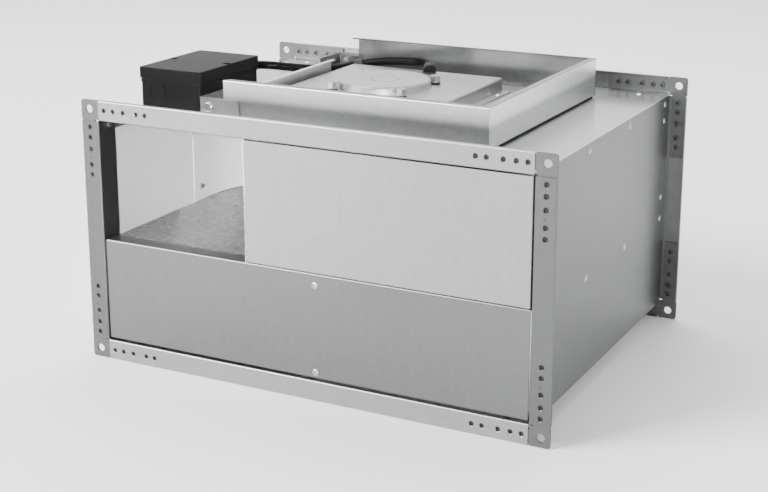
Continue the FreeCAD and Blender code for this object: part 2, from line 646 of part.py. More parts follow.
def motor_bridge_plate():
    t = BRIDGE_T
    outer = box(BRIDGE_X0, BRIDGE_X1, -BRIDGE_Y, BRIDGE_Y, BASE_TOP, BRIDGE_TOP)
    rounded = [e for e in outer.Edges if e.BoundBox.ZMax > BRIDGE_TOP - 0.1]
    outer = outer.makeFillet(2.6, rounded)
    inner = box(BRIDGE_X0 + t, BRIDGE_X1 - t, -BRIDGE_Y + t, BRIDGE_Y - t, BASE_TOP - 1, BRIDGE_TOP - t)
    feet = [box(BRIDGE_X0 + 1, BRIDGE_X0 + BRIDGE_FOOT, -BRIDGE_Y + 4, BRIDGE_Y - 4, BASE_TOP, BASE_TOP + t),
            box(BRIDGE_X1 - 1, BRIDGE_X1 + BRIDGE_FOOT, -BRIDGE_Y + 4, BRIDGE_Y - 4, BASE_TOP, BASE_TOP + t)]
    body = fuse(outer, pressed_boss(0.0)).cut(inner).cut(pressed_boss(t))
    holes = [rod(2.0, x, y, 260, 280) for x, y in BRIDGE_RIVETS]
    holes += [rod(5.0, x, y, 280, 295) for x, y in MOTOR_BOLTS]
    return cut(fuse(body, *feet), rod(GROMMET_R, *GROMMET, 280, 295), *holes, *boss_marks())


def motor_bolt(x, y):
    head = hexagon(10.0, x, y, 293.7, 299.2)
    return fuse(head, rod(2.9, x, y, 280.5, 294), hexagon(8.0, x, y, 277.5, 281.5))


def motor_washer(x, y):
    return tube(6.4, 3.0, x, y, 292.5, 293.7)


def rubber_damper(x, y):
    """Grommet in the bridge plate, with a collar above and below the sheet."""
    body = fuse(rod(5.8, x, y, BRIDGE_TOP, 292.5), rod(4.9, x, y, 288.4, 290.5), rod(5.8, x, y, 287.2, 288.5))
    return body.cut(rod(3.0, x, y, 280, 300))


def cable_grommet():
    """Rubber boot that leads the cable out of the bridge plate at a slant."""
    x, y = GROMMET
    start = CABLE_ROUTE[0]
    way = (CABLE_ROUTE[1] - start).normalize()
    rim = 8.0
    plug = fuse(rod(rim, x, y, 287.3, BRIDGE_TOP - BRIDGE_T), rod(GROMMET_R - 0.1, x, y, 288, 290.5),
                rod(rim, x, y, BRIDGE_TOP, BRIDGE_TOP + 1.2))
    boot = Part.makeCone(7.6, 5.9, 10, start - way * 2, way)
    boot = boot.common(box(x - 40, x + 40, y - 40, y + 40, BRIDGE_TOP, HATCH_TOP))
    return cut(fuse(plug, boot), Part.makeCylinder(CABLE_R + 0.05, 30, start, way))


# ---- motor and impeller -------------------------------------------------
FLANGE_UNDER = 281.5
HUB_R = 27.0
ROTOR_R = 50.0
SHAFT_R = 6.0
BEARING_R = 13.0


def motor_flange():
    """Cast carrier: disc under the bridge plate, hub with the bearing seats and cable arm."""
    disc = rod(67, AXIS_X, AXIS_Y, FLANGE_UNDER, 287.2)
    disc = disc.makeFillet(1.6, [e for e in disc.Edges if e.BoundBox.XLength > 10])
    hub = rod(HUB_R, AXIS_X, AXIS_Y, 206, FLANGE_UNDER + 1)
    x, y = GROMMET
    arm = box(x - 9, x + 9, 50, y, FLANGE_UNDER, 287.2)
    ribs = []
    for k in range(6):
        rib = box(AXIS_X + HUB_R - 2, AXIS_X + 46, -2, 2, 276, FLANGE_UNDER + 1)
        rib.rotate(V(AXIS_X, AXIS_Y, 0), V(0, 0, 1), 60 * k)
        ribs.append(rib)
    body = fuse(disc, hub, arm, rod(9, x, y, FLANGE_UNDER, 287.2), *ribs)
    bore = rod(SHAFT_R + 3, AXIS_X, AXIS_Y, 200, 290)
    seats = [rod(BEARING_R, AXIS_X, AXIS_Y, 205, 216), rod(BEARING_R, AXIS_X, AXIS_Y, 262, 290)]
    holes = [rod(3.1, a, b, 270, 295) for a, b in MOTOR_BOLTS]
    return cut(body, bore, *seats, *holes)


def bearing(z0):
    ring = tube(BEARING_R, SHAFT_R + 0.05, AXIS_X, AXIS_Y, z0, z0 + 9)
    groove = tube(BEARING_R - 2.2, SHAFT_R + 2.2, AXIS_X, AXIS_Y, z0 - 1, z0 + 0.6)
    upper = tube(BEARING_R - 2.2, SHAFT_R + 2.2, AXIS_X, AXIS_Y, z0 + 8.4, z0 + 10)
    return cut(ring, groove, upper)


def hub_cover():
    """Plug that closes the upper bearing seat."""
    return rod(BEARING_R, AXIS_X, AXIS_Y, 284.0, 288.0).fuse(rod(17, AXIS_X, AXIS_Y, 287.2, 288.6))


def stator_core():
    core = tube(46.0, HUB_R, AXIS_X, AXIS_Y, 214, 248)
    slots = []
    for k in range(18):
        slot = box(AXIS_X + 34, AXIS_X + 50, -1.4, 1.4, 210, 252)
        slot.rotate(V(AXIS_X, AXIS_Y, 0), V(0, 0, 1), 20 * k)
        slots.append(slot)
    return cut(core, *slots)


def windings():
    rings = []
    for z0, z1 in ((206.5, 214), (248, 256)):
        ring = tube(43.5, 30, AXIS_X, AXIS_Y, z0, z1)
        edge_z = z0 if z0 < 220 else z1
        rims = [e for e in ring.Edges if e.BoundBox.XLength > 50 and abs(e.BoundBox.ZMin - edge_z) < 0.1
                and abs(e.BoundBox.ZMax - edge_z) < 0.1]
        rings.append(ring.makeFillet(3.0, rims))
    return Part.makeCompound(rings)


def rotor_shell():
    """Bell of the outer rotor with the flange that carries the impeller."""
    bell = revolved([(0, 196), (44, 196), (ROTOR_R, 201), (ROTOR_R, 242), (62, 242), (62, 245.9),
                     (ROTOR_R, 245.9), (ROTOR_R, 261), (46.8, 261), (46.8, 202.5), (43, 199.6), (0, 199.6)],
                    AXIS_X, AXIS_Y)
    holes = [rod(2.0, x, y, 235, 250) for x, y in impeller_screw_places()]
    return cut(bell, rod(SHAFT_R + 0.02, AXIS_X, AXIS_Y, 190, 205), *holes)


def motor_shaft():
    shaft = rod(SHAFT_R, AXIS_X, AXIS_Y, 194.6, 276)
    return shaft.makeChamfer(0.8, [e for e in shaft.Edges if e.BoundBox.XLength > 5])


def impeller_screw_places():
    return [(AXIS_X + 56 * cos(radians(a)), AXIS_Y + 56 * sin(radians(a))) for a in (0, 60, 120, 180, 240, 300)]


def impeller_back_plate():
    disc = revolved([(ROTOR_R + 0.2, 246), (IMPELLER_R, 246), (IMPELLER_R, 247.5), (ROTOR_R + 0.2, 247.5)],
                    AXIS_X, AXIS_Y)
    return cut(disc, *[rod(2.0, x, y, 235, 250) for x, y in impeller_screw_places()])


def impeller_screws():
    return Part.makeCompound([fuse(rod(3.6, x, y, 247.5, 249.6), rod(1.9, x, y, 240, 248))
                              for x, y in impeller_screw_places()])


def impeller_blades():
    """Forward-curved blades between the back plate and the inlet band."""
    def blade_point(r, degrees):
        return V(AXIS_X + r * cos(radians(degrees)), AXIS_Y + r * sin(radians(degrees)), IMPELLER_Z0 + 1.5)
    thick = 0.45
    outline = []
    for side in (thick, -thick):
        outline.append([blade_point(BLADE_IN_R, side), blade_point(89.5, side - 1.2),
                        blade_point(IMPELLER_R - 0.4, side + 3.6)])
    edges = [Part.Arc(*points).toShape() for points in outline]
    edges += [Part.LineSegment(outline[0][k], outline[1][k]).toShape() for k in (0, 2)]
    face = Part.Face(Part.Wire(Part.__sortEdges__(edges)))
    first = face.extrude(V(0, 0, 246 - IMPELLER_Z0 - 1.5))
    blades = []
    for k in range(BLADE_COUNT):
        blade = first.copy()
        blade.rotate(V(AXIS_X, AXIS_Y, 0), V(0, 0, 1), 360.0 * k / BLADE_COUNT)
        blades.append(blade)
    return Part.makeCompound(blades)


def impeller_inlet_band():
    return revolved([(BLADE_IN_R - 1, IMPELLER_Z0), (IMPELLER_R, IMPELLER_Z0), (IMPELLER_R, IMPELLER_Z0 + 1.5),
                     (BLADE_IN_R - 1, IMPELLER_Z0 + 1.5)], AXIS_X, AXIS_Y)


# ---- cable --------------------------------------------------------------
def cable_arcs(points):
    """Tangent points, middle and radius of the arc at each inner corner of a route."""
    arcs = []
    for a, p, b in zip(points, points[1:], points[2:]):
        to_a, to_b = (a - p), (b - p)
        short = min(to_a.Length, to_b.Length)
        half_turn = (pi - to_a.getAngle(to_b)) / 2
        reach = 0.45 * short
        radius = reach / tan(half_turn)
        start = p + to_a.normalize() * reach
        end = p + to_b.normalize() * reach
        middle_way = (to_a + to_b).normalize()
        middle = p + middle_way * (radius / cos(half_turn) - radius)
        arcs.append((start, middle, end, radius))
    return arcs


def cable_edges(first, last):
    """Centre line from route point first to last; inner ends lie on a run's middle."""
    arcs = cable_arcs(CABLE_ROUTE)
    edges = []
    at = CABLE_ROUTE[0] if first == 0 else arcs[first - 1][2]
    for k in range(first, last if last < len(CABLE_ROUTE) - 1 else last - 1):
        start, middle, end, radius = arcs[k]
        edges.append(Part.LineSegment(at, start).toShape())
        edges.append(Part.Arc(start, middle, end).toShape())
        at = end
    if last == len(CABLE_ROUTE) - 1:
        edges.append(Part.LineSegment(at, CABLE_ROUTE[-1]).toShape())
    return edges


def cable_part(first, last):
    """Round cable along the route from one corner to the next."""
    wire = Part.Wire(cable_edges(first, last))
    start = wire.Edges[0]
    way = start.tangentAt(start.FirstParameter)
    circle = Part.Wire(Part.Circle(start.valueAt(start.FirstParameter), way, CABLE_R).toShape())
    solid = wire.makePipeShell([circle], True, False)
    print("cable", first, last, "length", round(wire.Length, 1), "volume ratio",
          round(solid.Volume / (pi * CABLE_R ** 2 * wire.Length), 4))
    return solid


CLAMP_SCREW = (-106.0, 131.5)


def clamp_line():
    """Middle and direction of the cable's last run before the hinge."""
    a, b = CABLE_ROUTE[CABLE_SPLITS[0] - 1], CABLE_ROUTE[CABLE_SPLITS[0]]
    return a + (b - a) * 0.5, (b - a).normalize()


def cable_clamp():
    """Strap round the cable with a foot on the hatch base."""
    centre, way = clamp_line()
    ring = Part.makeCylinder(CABLE_R + 1.5, 9, centre - way * 4.5, way)
    x, y = CLAMP_SCREW
    foot = box(x - 6, x + 6, y - 6, y + 6, BASE_TOP, BASE_TOP + 1.2)
    post = box(x - 4.5, x + 4.5, centre.y + 4.2, y - 4.8, BASE_TOP, centre.z + 1)
    bore = Part.makeCylinder(CABLE_R + 0.35, 30, centre - way * 15, way)
    return cut(fuse(ring, post, foot), bore, rod(2.0, x, y, 260, 285))


def clamp_screw():
    x, y = CLAMP_SCREW
    return rod(1.9, x, y, BASE_Z + 1.3, BASE_TOP + 1.5).fuse(hexagon(7.0, x, y, BASE_TOP + 1.2, BASE_TOP + 4.4))


# ---- terminal box -------------------------------------------------------
BOX_WALL = 2.5
BOX_IN = 1.5              # base walls stand in from the cover
BOX_SCREWS = [(-215.0, -125.0), (-177.0, -51.0)]
COVER_SCREWS = [(BOX_X0 + 6.5, -88.0), (BOX_X1 - 6.5, -88.0)]
KNOCKOUT = (-211.6, 292.0, 10.3)


def rounded_block(x0, x1, y0, y1, z0, z1, r):
    block = box(x0, x1, y0, y1, z0, z1)
    return block.makeFillet(r, [e for e in block.Edges if is_upright(e)])


def terminal_box_base():
    x0, x1, y0, y1 = BOX_X0 + BOX_IN, BOX_X1 - BOX_IN, BOX_Y0 + BOX_IN, BOX_Y1 - BOX_IN
    w = BOX_WALL
    top = COVER_Z + 1.5
    shell = rounded_block(x0, x1, y0, y1, Z1, top, 3)
    rim = rounded_block(x0 - 0.8, x1 + 0.8, y0 - 0.8, y1 + 0.8, COVER_Z - 4, COVER_Z - 1.6, 3.5)
    hollow = rounded_block(x0 + w, x1 - w, y0 + w, y1 - w, Z1 + w, top + 1, 1.5)
    posts = [rod(4.0, x, y, Z1 + 1, COVER_Z + 1.5) for x, y in COVER_SCREWS]
    body = fuse(fuse(shell, rim).cut(hollow), *posts)
    kx, kz, kr = KNOCKOUT
    groove = rod_y(kr, kx, kz, y0 - 1, y0 + 0.7).cut(rod_y(kr - 1.1, kx, kz, y0 - 2, y0 + 2))
    gx, gz = CABLE_ROUTE[-1].x, CABLE_ROUTE[-1].z
    holes = [rod_y(7.0, gx, gz, y1 - 10, y1 + 2), groove]
    holes += [rod(1.6, x, y, 265, 280) for x, y in BOX_SCREWS]
    holes += [rod(1.5, x, y, 290, 312) for x, y in COVER_SCREWS]
    return cut(body, *holes)


def terminal_box_cover():
    w = BOX_WALL
    block = rounded_block(BOX_X0, BOX_X1, BOX_Y0, BOX_Y1, COVER_Z, BOX_TOP, 3.5)
    block = block.makeFillet(1.2, [e for e in block.Edges if e.BoundBox.ZMin > BOX_TOP - 0.01])
    hollow = rounded_block(BOX_X0 + BOX_IN - 0.2, BOX_X1 - BOX_IN + 0.2, BOX_Y0 + BOX_IN - 0.2,
                           BOX_Y1 - BOX_IN + 0.2, COVER_Z - 1, BOX_TOP - w - 1.2, 3)
    body = block.cut(hollow)
    wells = []
    for x, y in COVER_SCREWS:
        side = -1 if x < -200 else 1
        pad = rod(4.0, x, y, COVER_Z + 1.6, BOX_TOP).common(block)
        body = body.fuse(pad)
        well = rod(3.4, x, y, COVER_Z + 6, BOX_TOP + 1)
        slot = box(*sorted((x, x + side * 6)), y - 3.4, y + 3.4, COVER_Z + 6, BOX_TOP + 1)
        wells.append(well.fuse(slot))
        wells.append(rod(1.7, x, y, COVER_Z - 1, BOX_TOP))
    return cut(body.removeSplitter(), *wells)


def cover_gasket():
    x0, x1, y0, y1 = BOX_X0 + BOX_IN, BOX_X1 - BOX_IN, BOX_Y0 + BOX_IN, BOX_Y1 - BOX_IN
    z0, z1 = COVER_Z + 1.5, COVER_Z + 2.4
    ring = rounded_block(x0, x1, y0, y1, z0, z1, 3)
    ring = ring.cut(rounded_block(x0 + 2.4, x1 - 2.4, y0 + 2.4, y1 - 2.4, z0 - 1, z1 + 1, 1.5))
    return cut(ring, *[rod(4.2, x, y, z0 - 1, z1 + 1) for x, y in COVER_SCREWS])


def tapping_screw(x, y, z):
    """Slotted cylinder-head screw whose head bears on height z."""
    head = rod(2.9, x, y, z, z + 2.2)
    slot = box(x - 3, x + 3, y - 0.4, y + 0.4, z + 1.4, z + 3)
    return fuse(head.cut(slot), rod(1.45, x, y, z - 10, z + 0.2))


def box_screws():
    """Two screws hold the cover, two hold the box on the casing."""
    cover = [tapping_screw(x, y, COVER_Z + 6) for x, y in COVER_SCREWS]
    return Part.makeCompound(cover + [tapping_screw(x, y, Z1 + BOX_WALL) for x, y in BOX_SCREWS])


def terminal_block():
    """Row of six clamps on a strip."""
    x0, y0 = -212.0, -122.0
    body = box(x0, x0 + 20, y0, y0 + 54, Z1 + BOX_WALL, Z1 + BOX_WALL + 14)
    for k in range(6):
        y = y0 + 4.5 + 9 * k
        for x in (x0 + 5, x0 + 15):
            body = body.cut(rod(2.2, x, y, Z1 + BOX_WALL + 8, Z1 + BOX_WALL + 20))
        if k:
            body = body.cut(box(x0 - 1, x0 + 21, y - 4.9, y - 4.1, Z1 + BOX_WALL + 10, Z1 + 30))
    return body


def capacitor():
    can = Part.makeCylinder(9.5, 58, V(-176, -118, Z1 + BOX_WALL + 10.0), V(0, 1, 0))
    return can.makeFillet(1.5, [e for e in can.Edges if e.BoundBox.XLength > 5])


def cable_gland():
    """Gland body and cap nut on the rear of the terminal box."""
    gx, gz = CABLE_ROUTE[-1].x, CABLE_ROUTE[-1].z
    y1 = BOX_Y1 - BOX_IN
    sleeve = rod_y(6.9, gx, gz, y1 - BOX_WALL - 6, y1 + 6)
    collar = rod_y(9.4, gx, gz, y1, y1 + 5)
    cap = hexagon(16.0, 0, 0, 0, 11)
    cap.rotate(V(0, 0, 0), V(1, 0, 0), -90)
    cap.translate(V(gx, y1 + 5, gz))
    tip = Part.makeCone(8.0, 6.4, 7.5, V(gx, y1 + 16, gz), V(0, 1, 0))
    body = fuse(sleeve, collar, cap, tip)
    return body.cut(rod_y(CABLE_R + 0.15, gx, gz, y1 - 20, y1 + 40))


def gland_nut():
    gx, gz = CABLE_ROUTE[-1].x, CABLE_ROUTE[-1].z
    y1 = BOX_Y1 - BOX_IN - BOX_WALL
    nut = hexagon(19.0, 0, 0, 0, 4.0).cut(rod(6.95, 0, 0, -1, 5))
    nut.rotate(V(0, 0, 0), V(1, 0, 0), 90)
    nut.translate(V(gx, y1, gz))
    return nut


# ---- assembly -----------------------------------------------------------
def rivet_group(places, grip):
    return [rivet(tip, out, grip) for tip, out in places]


def casing_rivets():
    rivets = rivet_group(all_side_rivets(-1) + all_side_rivets(1), 2 * SHEET)
    rivets += rivet_group(TOP_RIVETS + BOTTOM_RIVETS, 2 * SHEET)
    rivets += rivet_group(BRACKET_RIVETS, SHEET + HATCH_SHEET)
    return Part.makeCompound(rivets + [rivet(*SCROLL_RIVET, LAP_DEPTH)])


def bridge_rivets():
    places = [(V(x, y, BASE_TOP + BRIDGE_T), V(0, 0, 1)) for x, y in BRIDGE_RIVETS]
    return Part.makeCompound(rivet_group(places, BRIDGE_T + HATCH_SHEET))


def assembly():
    front_long, front_side = flange_bars(False)
    rear_long, rear_side = flange_bars(True)
    plates = corner_plates()
    tab_front, tab_rear = BRACKET_Y[0][0], BRACKET_Y[1][1]
    nut_gap = HATCH_SHEET + 0.6
    held, crossed = CABLE_SPLITS
    casing = {
        "front_flange_long_bars": front_long,
        "front_flange_side_bars": front_side,
        "front_corner_plates": plates,
        "rear_flange_long_bars": rear_long,
        "rear_flange_side_bars": rear_side,
        "rear_corner_plates": mirror_y(plates),
        "casing_bottom_panel": casing_bottom_panel(),
        "casing_left_panel": casing_side_panel(-1),
        "casing_right_panel": casing_side_panel(1),
        "casing_top_panel": casing_top_panel(),
        "casing_rivets": casing_rivets(),
        "partition_plate": partition_plate(),
        "inlet_ring": inlet_ring(),
        "volute_scroll": volute_scroll(),
        "volute_tongue": volute_tongue(),
        "front_lower_panel": front_lower_panel(),
        "front_upper_panel": front_upper_panel(),
        "panel_stiffener": panel_stiffener(),
        "front_panel_screws": front_panel_screws(),
        "hinge_bracket_front": hinge_bracket(tab_front, BRACKET_Y[0][1]),
        "hinge_bracket_rear": hinge_bracket(tab_rear, BRACKET_Y[1][0]),
        "hinge_bolts": Part.makeCompound([pivot_bolt(tab_front, 1), pivot_bolt(tab_rear, -1)]),
        "hinge_nuts": Part.makeCompound([pivot_nut(HATCH_Y0 + nut_gap, 1),
                                         pivot_nut(HATCH_Y1 - nut_gap, -1)])}
    hatch = {
        "hatch_base": hatch_base(),
        "hatch_gasket": hatch_gasket(),
        "hatch_front_wall": hatch_wall_across(HATCH_Y0, 1),
        "hatch_rear_wall": hatch_rear_wall(),
        "hatch_right_wall": hatch_right_wall(),
        "hatch_left_wall": hatch_left_wall(),
        "hatch_screws": Part.makeCompound([hatch_screw(y) for y in HATCH_SCREW_Y]),
        "motor_bridge_plate": motor_bridge_plate(),
        "bridge_rivets": bridge_rivets(),
        "motor_bolts": Part.makeCompound([motor_bolt(x, y) for x, y in MOTOR_BOLTS]),
        "motor_washers": Part.makeCompound([motor_washer(x, y) for x, y in MOTOR_BOLTS]),
        "motor_dampers": Part.makeCompound([rubber_damper(x, y) for x, y in MOTOR_BOLTS]),
        "motor_flange": motor_flange(),
        "motor_bearings": Part.makeCompound([bearing(264), bearing(206.5)]),
        "motor_hub_cover": hub_cover(),
        "stator_core": stator_core(),
        "stator_windings": windings(),
        "cable_grommet": cable_grommet(),
        "motor_cable": cable_part(0, held),
        "cable_clamp": cable_clamp(),
        "clamp_screw": clamp_screw()}
    rotor = {
        "rotor_shell": rotor_shell(),
        "motor_shaft": motor_shaft(),
        "impeller_back_plate": impeller_back_plate(),
        "impeller_blades": impeller_blades(),
        "impeller_inlet_band": impeller_inlet_band(),
        "impeller_screws": impeller_screws()}
    terminal_box = {
        "motor_cable_flex": cable_part(held, crossed),
        "motor_cable_box_end": cable_part(crossed, len(CABLE_ROUTE) - 1),
        "terminal_box_base": terminal_box_base(),
        "terminal_box_cover": terminal_box_cover(),
        "cover_gasket": cover_gasket(),
        "box_screws": box_screws(),
        "terminal_block": terminal_block(),
        "capacitor": capacitor(),
        "cable_gland": cable_gland(),
        "gland_nut": gland_nut()}
    return {**casing, **hatch, **rotor, **terminal_box}


def main():
    os.makedirs("parts", exist_ok=True)
    for arc in cable_arcs(CABLE_ROUTE):
        print("cable bend radius", round(arc[3], 1))
    nodes = assembly()
    print(len(nodes), "nodes")
    for name, shape in nodes.items():
        solids = shape.Solids
        print(name, "valid" if shape.isValid() else "NOT VALID", len(solids), round(shape.Volume, 1))
        shape.exportStep("parts/%s.step" % name)


main()
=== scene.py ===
"""Inline duct fan: its finishes, its cable and the studio round it.

The sheet metal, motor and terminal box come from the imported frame, and stay where they are.
"""
from math import cos, pi, radians, sin

import bmesh
import bpy
from bpy.props import FloatProperty, FloatVectorProperty, PointerProperty
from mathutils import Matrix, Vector


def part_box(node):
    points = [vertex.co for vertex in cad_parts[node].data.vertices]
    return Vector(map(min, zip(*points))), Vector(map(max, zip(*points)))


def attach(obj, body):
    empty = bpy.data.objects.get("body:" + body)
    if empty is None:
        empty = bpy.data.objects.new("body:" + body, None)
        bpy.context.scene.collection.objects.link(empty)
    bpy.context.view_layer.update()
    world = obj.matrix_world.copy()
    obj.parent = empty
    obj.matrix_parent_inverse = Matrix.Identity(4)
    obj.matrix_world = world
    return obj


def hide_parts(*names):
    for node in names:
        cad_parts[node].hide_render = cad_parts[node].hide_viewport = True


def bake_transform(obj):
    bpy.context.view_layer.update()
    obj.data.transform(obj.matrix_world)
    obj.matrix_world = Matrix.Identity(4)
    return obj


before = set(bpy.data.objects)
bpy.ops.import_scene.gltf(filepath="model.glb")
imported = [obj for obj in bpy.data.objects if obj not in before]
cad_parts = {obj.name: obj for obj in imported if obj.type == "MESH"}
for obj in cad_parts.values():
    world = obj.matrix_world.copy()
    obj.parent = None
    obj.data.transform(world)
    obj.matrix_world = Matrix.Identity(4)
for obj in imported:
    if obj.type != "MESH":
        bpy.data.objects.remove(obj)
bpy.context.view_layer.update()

bl_info = {
    "name": "Inline Duct Fan",
    "version": (1, 0, 0),
    "blender": (4, 5, 0),
    "location": "View3D > Sidebar > Duct Fan",
    "description": "Finishes, cable and studio for a galvanised inline duct fan",
    "category": "Object",
}

# Bottoms of the press marks, as distances from the middle plane between the flanges.
PIT_LOW, PIT_HIGH = 0.20225, 0.2035
PIT_EDGE = 0.00004
# How much painted shade darkens the bottoms of the press marks.
PIT_SHADE_DEPTH = 0.66

# Bands of painted shade on the hatch walls, from the top lip downwards.
HATCH_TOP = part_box("hatch_front_wall")[1][2]
LIP_BOTTOM = HATCH_TOP - 0.0009
BAND_TOP = HATCH_TOP - 0.019
LIP_EDGE = 0.00015
BAND_EDGE = 0.004

ALONG_X, ALONG_Y, ALONG_Z = 0, 1, 2
STREAK_STRETCH = 0.012
CLOUD = 0.09

# Floor sweep and lights: place, aim, size and the power's name in the studio settings.
SWEEP_RISE = 1.6
SWEEP_TOP = 4.0
SWEEP_STEPS = 6
FLOOR_STEPS = 96
OUTLET_SPREAD = radians(7)
LIGHTS = {
    "key_light": ((-2.8, -3.0, 3.0), (0, 0, 0.1), (2.4, 2.4), "key"),
    "top_light": ((-0.6, 1.6, 3.2), (0, 0, 0.2), (3.0, 2.0), "top"),
    "card_light": ((2.2, -3.2, 1.0), (-0.2, -0.1, 0.2), (3.0, 1.7), "card"),
    "outlet_light": ((1.25, -2.9, 0.95), (-0.17, -0.1, 0.19), (0.2, 0.2), "outlet"),
}

# Rounding of the soft pieces: doubles, flat faces and sharp edges.
SAME_PLACE = 1e-6
FLAT = radians(1)
SHARP = radians(40)


# ---- sizes and colours --------------------------------------------------
def colour(name, description, default):
    return FloatVectorProperty(name=name, description=description, default=default,
                               subtype="COLOR", size=3, min=0.0, max=1.0)


def length(name, description, default):
    return FloatProperty(name=name, description=description, default=default, unit="LENGTH", precision=4)


def share(name, description, default):
    return FloatProperty(name=name, description=description, default=default,
                         subtype="FACTOR", min=0.0, max=1.0)


class ZincFinish(bpy.types.PropertyGroup):
    """Galvanised sheet."""
    # The tones per part are lit and shaded copies of one zinc: painted shade darkens the side panels, lower
    # front panel, flange side bars, rear flange and corner plates; painted light brightens the top panel and
    # hatch side walls.
    side: colour("Side panels", "Zinc on the side panels", (0.165, 0.167, 0.167))
    panel: colour("Top panel", "Zinc on the top and bottom panels", (0.78, 0.785, 0.785))
    upper: colour("Upper panel", "Zinc on the upper front panel", (0.36, 0.364, 0.36))
    lower: colour("Lower panel", "Zinc on the lower front panel", (0.18, 0.182, 0.184))
    scroll: colour("Scroll", "Zinc on the scroll and tongue", (0.44, 0.443, 0.44))
    shelf: colour("Shelf", "Zinc on the shelf and inlet ring", (0.27, 0.272, 0.27))
    inner: colour("Outlet wall", "Zinc on the panel that lines the outlet", (0.40, 0.403, 0.40))
    profile: colour("Long bars", "Zinc on the long flange bars", (0.35, 0.353, 0.356))
    upright: colour("Side bars", "Zinc on the upright flange bars", (0.145, 0.147, 0.149))
    rear: colour("Rear flange", "Zinc on the rear flange", (0.25, 0.253, 0.256))
    plate: colour("Corner plate", "Zinc on the corner plates", (0.15, 0.152, 0.154))
    hatch: colour("Hatch", "Zinc on the hatch walls", (0.46, 0.465, 0.465))
    hatch_side: colour("Hatch sides", "Zinc on the side walls of the hatch", (0.80, 0.805, 0.805))
    bridge: colour("Bridge plate", "Zinc on the motor bridge plate", (0.55, 0.555, 0.555))
    screw: colour("Fasteners", "Bright zinc plating", (0.46, 0.465, 0.47))
    sheet_roughness: share("Sheet roughness", "Roughness of the rolled sheet", 0.36)
    spangle: length("Spangle", "Mean size of a zinc crystal", 0.0045)
    grain: length("Grain", "Size of the fine grain of the zinc", 0.0009)
    streak: length("Streak", "Width of a rolling streak", 0.0016)


class SoftFinish(bpy.types.PropertyGroup):
    """Plastic, rubber and cable."""
    box: colour("Terminal box", "Moulded plastic of the terminal box", (0.004, 0.004, 0.0042))
    rubber: colour("Rubber", "Gasket, dampers and boot", (0.018, 0.018, 0.018))
    sheath: colour("Sheath", "Outer sheath of the motor cable", (0.004, 0.004, 0.004))
    terminal: colour("Terminal strip", "Moulded clamp strip", (0.72, 0.70, 0.64))
    can: colour("Capacitor", "Smooth can of the capacitor", (0.78, 0.78, 0.75))
    cable_diameter: length("Cable diameter", "Outer diameter of the motor cable", 0.010)
    plastic_grain: length("Plastic grain", "Size of the moulded texture", 0.0007)


class MotorFinish(bpy.types.PropertyGroup):
    """Motor and impeller."""
    casting: colour("Casting", "Die-cast carrier and hub cover", (0.45, 0.455, 0.46))
    rotor: colour("Rotor", "Dark dipped coating of the rotor shell", (0.030, 0.031, 0.033))
    steel: colour("Steel", "Shaft and core plates", (0.36, 0.36, 0.37))
    copper: colour("Copper", "Enamelled winding wire", (0.60, 0.24, 0.09))
    bearing: colour("Bearing", "Ground bearing rings", (0.70, 0.71, 0.72))
    impeller: colour("Impeller", "Galvanised blades and rings", (0.58, 0.59, 0.60))
    wire: length("Wire", "Diameter of the winding wire", 0.0008)
    lamination: length("Lamination", "Thickness of one core plate", 0.0006)


class Studio(bpy.types.PropertyGroup):
    """Camera, lights and floor."""
    camera_place: FloatVectorProperty(name="Camera place", description="Position of the camera",
                                      default=(0.7428, -1.4619, 0.6193), subtype="TRANSLATION", size=3)
    camera_turn: FloatProperty(name="Camera turn", description="Heading to the left of +Y",
                               default=radians(27.35), subtype="ANGLE")
    camera_tilt: FloatProperty(name="Camera tilt", description="Tilt below the horizon",
                               default=radians(15.01), subtype="ANGLE")
    lens: FloatProperty(name="Lens", description="Focal length in mm on a 36 mm wide sensor",
                        default=71.25, min=1.0)
    camera_rise: FloatProperty(name="Camera rise", description="Vertical shift of the lens, in frame widths",
                               default=-0.0794)
    floor: colour("Floor", "Floor and backdrop", (0.95, 0.95, 0.95))
    sky: colour("Ambient", "Soft light from above", (0.92, 0.94, 0.96))
    ambient: FloatProperty(name="Ambient strength", description="Strength of the ambient light",
                           default=0.95)
    key: FloatProperty(name="Key", description="Large soft light from the left front",
                       default=520.0, unit="POWER")
    top: FloatProperty(name="Top", description="Soft light from above and behind",
                       default=120.0, unit="POWER")
    card: FloatProperty(name="Card", description="Wide soft card at the right front",
                        default=50.0, unit="POWER")
    outlet: FloatProperty(name="Outlet light", description="Narrow light into the outlet",
                          default=1.9, unit="POWER")
    floor_radius: length("Floor radius", "Flat part of the floor", 6.0)


GROUPS = {"fan_zinc": ZincFinish, "fan_soft": SoftFinish, "fan_motor": MotorFinish, "fan_studio": Studio}


# ---- shader maths -------------------------------------------------------
class Wire:
    """A shader value. Its arithmetic adds Math nodes to the material's tree."""

    def __init__(self, graph, socket):
        self.graph = graph
        self.socket = socket

    def _maths(self, operation, *values):
        return self.graph.add("ShaderNodeMath", {"operation": operation}, dict(enumerate(values)))

    def __add__(self, other):
        return self._maths("ADD", self, other)

    def __sub__(self, other):
        return self._maths("SUBTRACT", self, other)

    def __rsub__(self, other):
        return self._maths("SUBTRACT", other, self)

    def __mul__(self, other):
        return self._maths("MULTIPLY", self, other)

    def __truediv__(self, other):
        return self._maths("DIVIDE", self, other)

    __radd__ = __add__
    __rmul__ = __mul__

    def size(self):
        """The value without its sign."""
        return self._maths("ABSOLUTE", self)

    def above(self, edge, soft):
        """0 below the edge, 1 above it, over a soft step."""
        return self.graph.add("ShaderNodeMapRange", {"interpolation_type": "SMOOTHSTEP", "clamp": True},
                              {"Value": self, "From Min": edge - soft, "From Max": edge + soft}, "Result")


